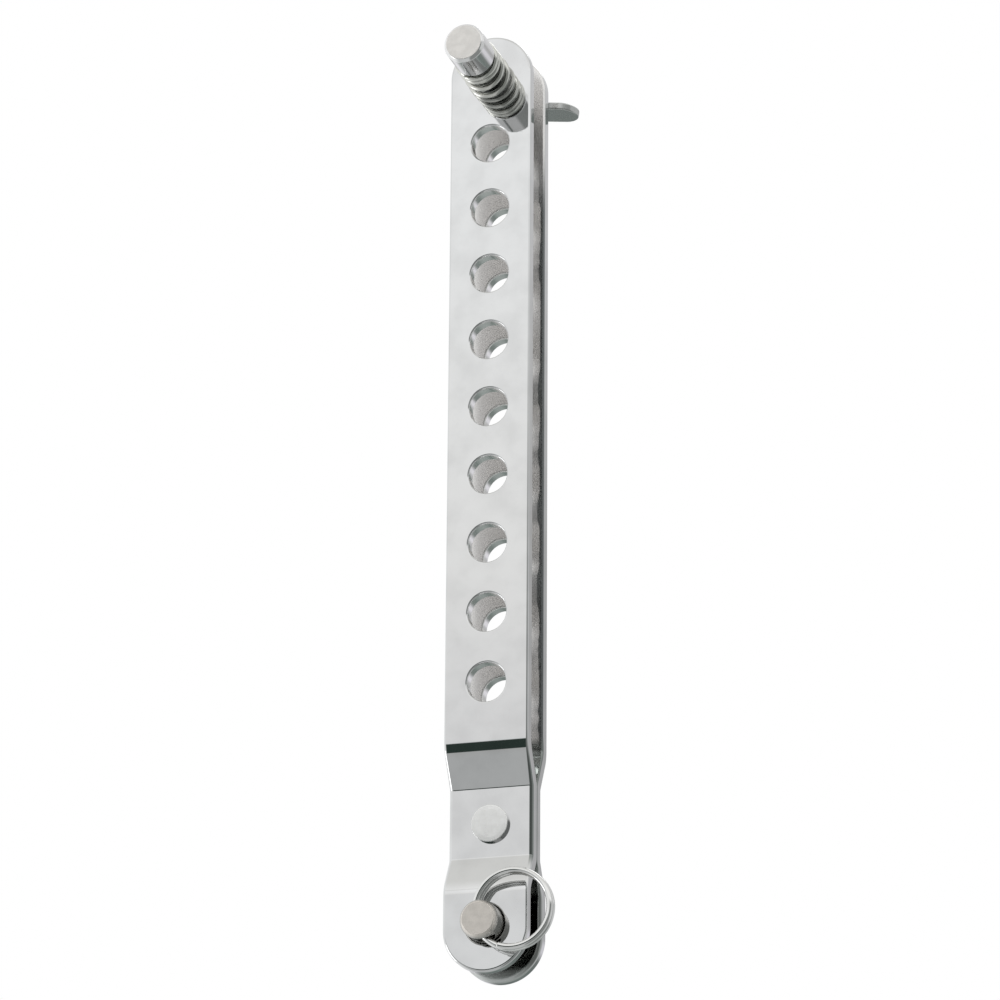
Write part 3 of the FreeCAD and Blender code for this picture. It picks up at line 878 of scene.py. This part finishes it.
@dataclass
class PlateRivet:
    """The rivet through the flat, with a low domed head on each side."""

    height: float = RIVET_HEIGHT
    shank_radius: float = 2.0
    head_radius: float = 2.9
    plate_face: float = 2.2
    head_face: float = 3.0
    crown_inset: float = 0.7
    crown_drop: float = 0.015
    dome: float = 0.035
    rounds: Four = (1.2, 0.1, 0.0, 0.0)

    def build(self) -> Object:
        """Turn the section, front head first, about the rivet's axis."""
        front = [(-self.head_face, 0.0), (-self.head_face + self.crown_drop, self.head_radius - self.crown_inset),
                 (-self.head_face + self.dome, self.head_radius), (-self.plate_face, self.head_radius),
                 (-self.plate_face, self.shank_radius)]
        corners = front + [(-along, radius) for along, radius in front[::-1]]
        skin = Skin()
        turn_about_y(skin, rounded_line(corners, self.rounds + self.rounds[::-1], 8), full_turn(TURN_STEPS))
        skin.moved(0, 0, self.height)
        return finish_piece(skin.mesh("domed_plate_rivet"), RIVET_STEEL, "rivet_steel", "plates", "plate_rivet")


@dataclass
class ClevisPin:
    """The fork's pin: cut front end, shank with the ring's cross hole, and a flat head behind."""

    radius: float = 3.0
    front: float = -8.5
    lead_inset: float = 0.5
    lead_length: float = 0.74
    lead_rounds: Span = (0.08, 0.15)
    head_start: float = 5.0
    head_end: float = 6.6
    head_radius: float = 4.75
    head_rounds: tuple[float, float, float] = (0.1, 0.12, 0.3)
    hole_place: float = -6.2
    hole_radius: float = 1.4
    hole_round: float = 0.06
    lip_share: float = 0.3
    patch_half: float = 1.5
    patch_rows: int = 7
    lean: float = -16.0
    columns: int = 24

    def build(self) -> Object:
        """Make the pin with its cross hole upright, then lean it as it sits in the fork."""
        skin = Skin()
        front = rounded_line([
            (self.front, 0.0), (self.front, self.radius - self.lead_inset),
            (self.front + self.lead_length, self.radius), (self.hole_place - self.patch_half, self.radius)],
            self.lead_rounds, 5)
        back = rounded_line([
            (self.hole_place + self.patch_half, self.radius), (self.head_start, self.radius),
            (self.head_start, self.head_radius), (self.head_end, self.head_radius), (self.head_end, 0.0)],
            self.head_rounds)
        for section in (front, back):
            turn_about_y(skin, section, full_turn(2 * self.columns))
        self.add_cross_hole(skin)
        skin.turned(self.lean)
        return finish_piece(skin.mesh("cross_drilled_clevis_pin"), CLEVIS_STEEL, "pin_steel", "clevis_pin",
                            "clevis_pin")

    def add_cross_hole(self, skin: Skin) -> None:
        """Cover the shank about both mouths of the cross hole, and line the hole.

        Half of the shank is unrolled to a rectangle, and a point of its sheet lies between the
        rectangle's outline and the mouth's curve in the same direction from the mouth's middle. On
        the mouth the place across is the pin's radius times the arc sine of the hole's sine over
        that radius. Rolled up again, the height is the root of radius squared less across squared.
        """
        side, end = self.radius * math.pi / 2, self.patch_half
        spread = np.linspace(-side, side, self.columns + 1)
        rise = np.linspace(end, -end, self.patch_rows)
        outline = np.concatenate([joined(spread[:-1], end), joined(side, rise[:-1]), joined(-spread[:-1], -end),
                                  joined(-side, rise[::-1])])
        angle = np.arctan2(outline[:, 0], outline[:, 1])
        over, along = np.sin(angle), np.cos(angle)
        depth = self.hole_round * np.array([0.0, self.lip_share, 1.0])[:, None]
        mouth = self.hole_radius + self.hole_round
        reach = self.hole_radius + self.hole_round * np.array([1.0, self.lip_share, 0.0])[:, None]
        rim = joined(self.radius * np.arcsin(mouth * over / self.radius), mouth * along)
        sheet = stretched_between(rim, outline, 5)
        across, up = np.sin(sheet[..., 0] / self.radius), np.cos(sheet[..., 0] / self.radius)
        lip = joined(reach * over, self.hole_place + reach * along,
                     np.sqrt((self.radius - depth) ** 2 - (reach * over) ** 2))
        wall = joined(-over, -along, 0.0)
        top = unit(joined(lip[0, :, 0], 0.0, lip[0, :, 2]))
        for sign in (1.0, -1.0):
            flip = np.array([1.0, 1.0, sign])
            points = joined(self.radius * across, self.hole_place + sheet[..., 1], self.radius * up)
            skin.add(points * flip, joined(across, 0.0, up) * flip)
            skin.add(lip * flip, np.stack([top, unit(top + wall), wall]) * flip)
        skin.add(np.stack([lip[-1], lip[-1] * np.array([1.0, 1.0, -1.0])]), wall[None])


@dataclass
class SplitRing:
    """Two turns of wire side by side, threaded through the clevis pin's cross hole."""

    mean_radius: float = 5.92
    wire: float = 1.0
    sides: int = 24
    pitch: float = 1.06
    turns: float = 1.983
    centre: Place = (4.98, -7.634, 1.48)
    start_angle: float = -111.0

    def build(self) -> Object:
        """Wind the wire: the angle grows evenly, and the depth by one pitch each turn."""
        turned = np.linspace(0, self.turns, round(TURN_STEPS * self.turns) + 1)
        cosine, sine = swept(self.start_angle + 360.0 * turned)
        path = joined(self.mean_radius * cosine, self.pitch * turned, self.mean_radius * sine)
        skin = Skin()
        round_wire(skin, path + np.array(self.centre), self.wire, self.sides)
        piece = skin.mesh("drawn_split_ring", mapped=True)
        return finish_piece(piece, RING_STEEL, "ring_wire", "split_ring", "split_ring")


@dataclass
class FastPin:
    """The sprung pin: cut front end, head, thin neck, shank, and a tail slotted for the toggle."""

    radius: float = 3.0
    head_radius: float = 3.3
    lead_inset: float = 0.38
    lead_length: float = 0.5
    neck_radius: float = 2.1
    height: float = TOP_HOLE
    front: float = -19.5
    shoulder: float = SHOULDER
    neck_end: float = -4.8
    slot_bottom: float = 5.0
    tail: float = 11.45
    bevel: float = 0.4
    half_slot: float = 0.7
    rounds: tuple[float, ...] = (0.3, 0.3, 0.15, 0.0, 0.1, 0.05, 0.1)
    tail_rounds: Span = (0.15, 0.08)
    lean: float = PIN_LEAN
    columns: int = 40
    slot_columns: int = 7

    def build(self) -> Object:
        """Make the pin with its slot level, then lean and lift it to its hole."""
        skin = Skin()
        start = math.degrees(math.asin(self.half_slot / self.radius))
        half = np.linspace(start, 180 - start, self.columns + 1)
        slot = np.linspace(-start, start, self.slot_columns)
        angles = np.concatenate([half, slot[1:-1] + 180, half + 180, slot[1:] + 360])
        section = rounded_line([
            (self.front, 0.0), (self.front, self.head_radius - self.lead_inset),
            (self.front + self.lead_length, self.head_radius), (self.shoulder, self.head_radius),
            (self.shoulder, self.neck_radius), (self.neck_end, self.neck_radius),
            (self.neck_end, self.radius - self.bevel), (self.neck_end + self.bevel, self.radius),
            (self.slot_bottom, self.radius)], self.rounds)
        turn_about_y(skin, section, angles)
        rise = self.radius * np.sin(np.radians(slot))[:, None]
        width = np.sqrt(self.radius**2 - rise**2) / math.sqrt(self.radius**2 - self.half_slot**2)
        cosine, _ = swept(half)
        skin.add(joined(self.radius * cosine * width, self.slot_bottom, rise), np.array([0.0, 1.0, 0.0]))
        for sign in (1.0, -1.0):
            self.add_prong(skin, sign)
        skin.turned(self.lean).moved(0, 0, self.height)
        return finish_piece(skin.mesh("slotted_fast_pin"), FAST_STEEL, "pin_steel", "fast_pin", "fast_pin")

    def add_prong(self, skin: Skin, sign: float) -> None:
        """Add one half of the tail: its round back, the slot's wall and the beveled end.

        At each place along the tail the arc runs between the two angles whose sine is half the slot
        over the radius there, and the wall has the arc's own places across.
        """
        line = rounded_line([(self.slot_bottom, self.radius), (self.tail - self.bevel, self.radius),
                             (self.tail, self.radius - self.bevel), (self.tail, self.half_slot)], self.tail_rounds, 5)
        along, radius, lean_along, lean_out = (column[:-1, None] for column in line.T)
        start = np.arcsin(self.half_slot / radius)
        angle = start + (math.pi - 2 * start) * np.linspace(0, 1, self.columns + 1)
        cosine, sine = np.cos(angle), np.sin(angle)
        flip = np.array([1.0, 1.0, sign])
        back = joined(radius * cosine, along, radius * sine)
        skin.add(back * flip, joined(lean_out * cosine, lean_along, lean_out * sine) * flip)
        wall = joined(radius * cosine, along, self.half_slot)
        skin.add(wall * flip, np.array([0.0, 0.0, -sign]))
        skin.add(np.stack([back[-1], wall[-1]]) * flip, np.array([0.0, 1.0, 0.0]))


@dataclass
class PinSpring:
    """The coil between the pin's head and the front plate: two closed turns, two open ones and a closed end.

    The depths and the radii are those at the turns that the knots give.
    """

    wire: float = 1.0
    sides: int = 20
    height: float = TOP_HOLE
    knots: Four = (0.0, 2.0, 4.0, 4.5)
    depths: Four = (-13.14, -11.02, -5.72, -5.66)
    radii: Four = (3.05, 3.05, 3.2, 3.2)
    eased: int = 27
    start_angle: float = -119.0
    plate_face: float = -5.1
    travel: float = 3.0

    def build(self) -> Object:
        """Wind the wire: depth and radius run through each stretch's ends, eased over the joins."""
        turned = np.linspace(0, self.knots[-1], round(TURN_STEPS * self.knots[-1]) + 1)
        window = np.hanning(self.eased) / np.hanning(self.eased).sum()
        rows = (np.pad(np.interp(turned, self.knots, values), self.eased // 2, mode="reflect", reflect_type="odd")
                for values in (self.depths, self.radii))
        depth, radius = (np.convolve(row, window, mode="valid") for row in rows)
        cosine, sine = swept(self.start_angle - 360.0 * turned)
        skin = Skin()
        round_wire(skin, joined(radius * cosine, depth, self.height + radius * sine), self.wire, self.sides)
        piece = finish_piece(skin.mesh("drawn_pin_spring", shaded=False, mapped=True), SPRING_STEEL, "spring_wire",
                             "spring", "pin_spring")
        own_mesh(piece)
        return piece


@dataclass
class Toggle:
    """The flat bar in the pin's tail, with round ends and rounded rims."""

    pivot: float = PIVOT
    reach: float = 8.2
    half_width: float = 2.75
    thickness: float = 1.2
    rim_round: float = 0.24
    hole_radius: float = 1.05
    lean: float = 8.2
    height: float = TOP_HOLE
    end_columns: int = 49

    def outline(self, inset: Array) -> tuple[Array, Array]:
        """Return the bar's outline and its outward direction, for insets along the first axis.

        Two half circles about the pivot and the far centre, joined by straight sides.
        """
        half = np.linspace(-90, 90, self.end_columns)
        cosine, sine = swept(np.concatenate([half, half + 180, [270.0]]))
        centre = np.repeat([self.reach, 0.0, self.reach], [self.end_columns, self.end_columns, 1])
        radius = (self.half_width - inset)[:, None]
        return joined(centre + radius * cosine, self.pivot + radius * sine), joined(cosine, sine)

    def build(self) -> Object:
        """Make both faces, the rim and the pivot's hole, then lean and lift the bar.

        A face's point lies between the outline and the hole's circle in the same direction from the
        pivot. The rim's section is a quarter circle at each face.
        """
        skin = Skin()
        section = edge_section(self.thickness, self.rim_round, self.rim_round)
        inset, lift, out, up = (part[:, None] for part in section)
        points, ways = self.outline(inset[:, 0])
        skin.add(joined(points[..., 0], points[..., 1], lift), joined(ways[:, 0] * out, ways[:, 1] * out, up))
        edge = points[0]
        angle = np.arctan2(edge[:, 1] - self.pivot, edge[:, 0])
        cosine, sine = np.cos(angle), np.sin(angle)
        hole = joined(self.hole_radius * cosine, self.pivot + self.hole_radius * sine)
        sheet = stretched_between(hole, edge, 4)
        for sign in (1.0, -1.0):
            face = joined(sheet[..., 0], sheet[..., 1], sign * self.thickness / 2)
            skin.add(face, np.array([0.0, 0.0, sign]))
        levels = np.array([[self.thickness / 2], [-self.thickness / 2]])
        skin.add(joined(hole[:, 0], hole[:, 1], levels), joined(-cosine, -sine, 0.0)[None])
        skin.turned(self.lean).moved(0, 0, self.height)
        return finish_piece(skin.mesh("tumbled_toggle"), TOGGLE_STEEL, "toggle_steel", "toggle", "toggle")


@dataclass
class ToggleRivet:
    """The cross rivet in the pin's tail, with both ends peened to low domes."""

    pivot: float = PIVOT
    radius: float = 1.0
    half_length: float = 2.82
    dome: float = 0.24
    lean: float = PIN_LEAN
    height: float = TOP_HOLE
    sides: int = 32

    def build(self) -> Object:
        """Turn the section about the rivet's own axis, then lay it through the tail."""
        cosine, sine = swept(np.linspace(90, 0, 7))
        lower = joined(-(self.half_length + self.dome * sine), self.radius * cosine, -sine, cosine)
        upper = lower[::-1] * np.array([-1.0, 1.0, -1.0, 1.0])
        skin = Skin()
        turn_about_y(skin, np.concatenate([lower, upper]), full_turn(self.sides))
        skin.swapped().moved(0, self.pivot, 0).turned(self.lean).moved(0, 0, self.height)
        return finish_piece(skin.mesh("peened_toggle_rivet"), TOGGLE_RIVET_STEEL, "pin_steel", "fast_pin",
                            "toggle_rivet")


# The studio


def stand(name: str, data: bpy.types.ID, axes: tuple[Array, Array, Array], place: Array) -> Object:
    """Put a camera or a lamp in the scene.

    Args:
        name: The object's name.
        data: The camera or lamp.
        axes: Its right, its up, and the direction behind it.
        place: Where it stands, in millimetres.

    Returns:
        The new object.
    """
    made = bpy.data.objects.new(name, data)
    bpy.context.scene.collection.objects.link(made)
    matrix = np.eye(4)
    matrix[:3] = np.stack([*axes, place * MM], axis=1)
    made.matrix_world = Matrix(matrix.tolist())
    return made


@dataclass(frozen=True)
class Room:
    """The world: white behind the object, even light, and for mirrored rays bright walls with dark gaps.

    A mirrored ray's colour comes from two ramps over its rise, one for the room's front and one for
    its back, mixed by how far it points to the back. The front has a grey gap to the right of the
    middle and a lighter part to the left in its dark band. The far left and the right are lighter.
    A span is where a mask is 0 and where it is 1, across, along or up the ray's direction.
    """

    front: Stops = (
        (0.0, (0.57, 0.58, 0.58)), (0.20, (0.48, 0.49, 0.49)), (0.322, (0.46, 0.465, 0.46)),
        (0.333, (0.028, 0.042, 0.036)), (0.57, (0.028, 0.042, 0.036)), (0.592, (0.84, 0.855, 0.86)),
        (0.64, (0.86, 0.86, 0.86)), (0.657, (0.95, 0.95, 0.94)), (0.70, (1.02, 1.03, 1.03)),
        (0.735, (1.03, 1.03, 1.03)), (0.75, (0.83, 0.83, 0.82)), (0.765, (1.01, 1.01, 1.0)),
        (0.93, (0.81, 0.81, 0.79)), (1.0, (0.78, 0.78, 0.76)))
    back: Stops = (
        (0.0, (0.50, 0.52, 0.51)), (0.28, (0.30, 0.33, 0.32)), (0.335, (0.17, 0.20, 0.19)),
        (0.42, (0.19, 0.21, 0.20)), (0.50, (0.72, 0.71, 0.75)), (0.56, (0.72, 0.71, 0.75)),
        (0.60, (0.50, 0.50, 0.51)), (0.655, (0.44, 0.44, 0.44)), (0.675, (0.53, 0.53, 0.53)),
        (0.70, (0.64, 0.64, 0.65)), (0.80, (0.74, 0.74, 0.74)), (1.0, (0.76, 0.76, 0.76)))
    facing_back: Span = (-0.25, 0.25)
    gap_across: Spans = ((0.10, 0.26), (1.0, 0.88))
    gap_height: Span = (0.715, 0.635)
    gap_tint: Colour = (0.24, 0.25, 0.245)
    aside_across: Span = (-0.36, -0.46)
    aside_height: Spans = ((0.30, 0.34), (0.60, 0.57))
    aside_tint: Colour = (0.50, 0.51, 0.51)
    left_across: Span = (-0.34, -0.68)
    left_along: Span = (-0.1, 0.2)
    far_left: Span = (-0.55, -0.85)
    left_tint: Colour = (0.92, 0.93, 0.93)
    right_across: Span = (0.48, 0.64)
    right_along: Span = (0.10, 0.35)
    far_right: Span = (0.90, 0.97)
    right_tint: Colour = (0.62, 0.63, 0.63)
    even_tint: Colour = (0.85, 0.85, 0.85)
    seen_tint: Colour = (1.0, 1.0, 1.0)

    def build(self) -> bpy.types.World:
        """Make the world."""
        world = bpy.data.worlds.new("room")
        graph = Graph.of(world)
        across, along, up = graph.axes(graph.node("ShaderNodeTexCoord").outputs["Generated"])
        height = up * 0.5 + 0.5
        gap = across.within(*self.gap_across) * height.step(*self.gap_height)
        aside = across.step(*self.aside_across) * height.within(*self.aside_height)
        left = (across.step(*self.left_across) * along.step(*self.left_along)).most(across.step(*self.far_left))
        right = (across.step(*self.right_across) * along.step(*self.right_along)).most(across.step(*self.far_right))
        front = graph.mix(gap, graph.ramp(height, self.front), self.gap_tint)
        front = graph.mix(aside, front, self.aside_tint)
        mirrored = graph.mix(along.step(*self.facing_back), front, graph.ramp(height, self.back))
        mirrored = graph.mix(left, mirrored, self.left_tint)
        mirrored = graph.mix(right, mirrored, self.right_tint)
        room, even, white = (graph.node("ShaderNodeBackground", inputs={"Color": colour, "Strength": 1.0})
                             for colour in (mirrored, self.even_tint, self.seen_tint))
        rays = graph.node("ShaderNodeLightPath").outputs
        seen = Signal(graph, rays["Is Camera Ray"]).most(Signal(graph, rays["Is Transmission Ray"]))
        surface = graph.blend(seen, graph.blend(rays["Is Glossy Ray"], even, room), white)
        graph.node("ShaderNodeOutputWorld", inputs={"Surface": surface.outputs[0]})
        return world


@dataclass(frozen=True)
class Softbox:
    """A soft rectangular lamp that faces a target, as bright as its radiance says."""

    name: str
    place: Place
    width: float
    height: float
    radiance: float

    def hang(self, target: Array) -> None:
        """Put the lamp in the scene."""
        data = bpy.data.lights.new(self.name, "AREA")
        data.shape, data.size, data.size_y = "RECTANGLE", self.width * MM, self.height * MM
        data.energy = self.radiance * math.pi * data.size * data.size_y
        back = unit(np.array(self.place) - target)
        right = unit(np.cross([0.0, 0.0, 1.0], back))
        stand(self.name, data, (right, np.cross(back, right), back), np.array(self.place))


@dataclass
class Studio:
    """The camera at the photograph's angle, the room that the metal mirrors, soft lamps and a pale floor."""

    azimuth: float = 17.398
    elevation: float = -19.187
    roll: float = 0.3887
    distance: float = 657.75
    target: Place = (0.4404, 0.0, 68.69)
    lens: float = 151.77
    sensor: float = 36.0
    clip: Span = (0.01, 50.0)
    lamps: tuple[Softbox, ...] = (Softbox("side_softbox", (-582.0, -179.0, -123.0), 170.0, 250.0, 2.4),
                                  Softbox("top_softbox", (150.0, 420.0, 700.0), 300.0, 300.0, 1.6))
    floor_height: float = -300.0
    floor_radius: float = 1600.0
    floor_paint: Colour = (0.93, 0.93, 0.93)
    floor_roughness: float = 0.7
    floor_gloss: float = 0.2

    def build(self) -> None:
        """Set up everything that isn't the object."""
        bpy.context.scene.view_settings.view_transform = "Standard"
        bpy.context.scene.world = Room().build()
        self.add_camera()
        self.add_floor()
        for lamp in self.lamps:
            lamp.hang(np.array(self.target))

    def add_camera(self) -> None:
        """Place the camera on its bearing from the target, rolled about its own axis."""
        bearing, tilt, roll = (math.radians(value) for value in (self.azimuth, self.elevation, self.roll))
        back = np.array([math.sin(bearing) * math.cos(tilt), -math.cos(bearing) * math.cos(tilt), math.sin(tilt)])
        right = unit(np.cross(-back, [0.0, 0.0, 1.0]))
        up = np.cross(right, -back)
        right, up = right * math.cos(roll) + up * math.sin(roll), up * math.cos(roll) - right * math.sin(roll)
        data = bpy.data.cameras.new("camera")
        data.lens, data.sensor_width, (data.clip_start, data.clip_end) = self.lens, self.sensor, self.clip
        bpy.context.scene.camera = stand("camera", data, (right, up, back),
                                         np.array(self.target) + back * self.distance)

    def add_floor(self) -> None:
        """Lay a round pale floor far below, which the metal sees through to the room."""
        cosine, sine = swept(full_turn(TURN_STEPS))
        radius = np.array([[0.0], [self.floor_radius]])
        skin = Skin()
        skin.add(joined(radius * cosine, radius * sine, self.floor_height), np.array([0.0, 0.0, 1.0]))
        floor = skin.mesh("floor", shaded=False)
        made = bpy.data.materials.new("pale_floor")
        graph = Graph.of(made)
        paint = graph.node("ShaderNodeBsdfPrincipled", inputs={
            "Base Color": self.floor_paint, "Roughness": self.floor_roughness,
            "Specular IOR Level": self.floor_gloss})
        glossy = graph.node("ShaderNodeLightPath").outputs["Is Glossy Ray"]
        shader = graph.blend(glossy, paint, graph.node("ShaderNodeBsdfTransparent"))
        graph.node("ShaderNodeOutputMaterial", inputs={"Surface": shader.outputs[0]})
        floor.data.materials.append(made)


def main() -> None:
    """Load the frame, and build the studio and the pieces."""
    logging.basicConfig(level=logging.INFO, format="%(message)s")
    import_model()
    Studio().build()
    parts = [Plate(Side.FRONT), Plate(Side.REAR), PlateRivet(), ClevisPin(), SplitRing(), FastPin(), PinSpring(),
             Toggle(), ToggleRivet()]
    for part in parts:
        part.build()


if __name__ == "__main__":
    main()
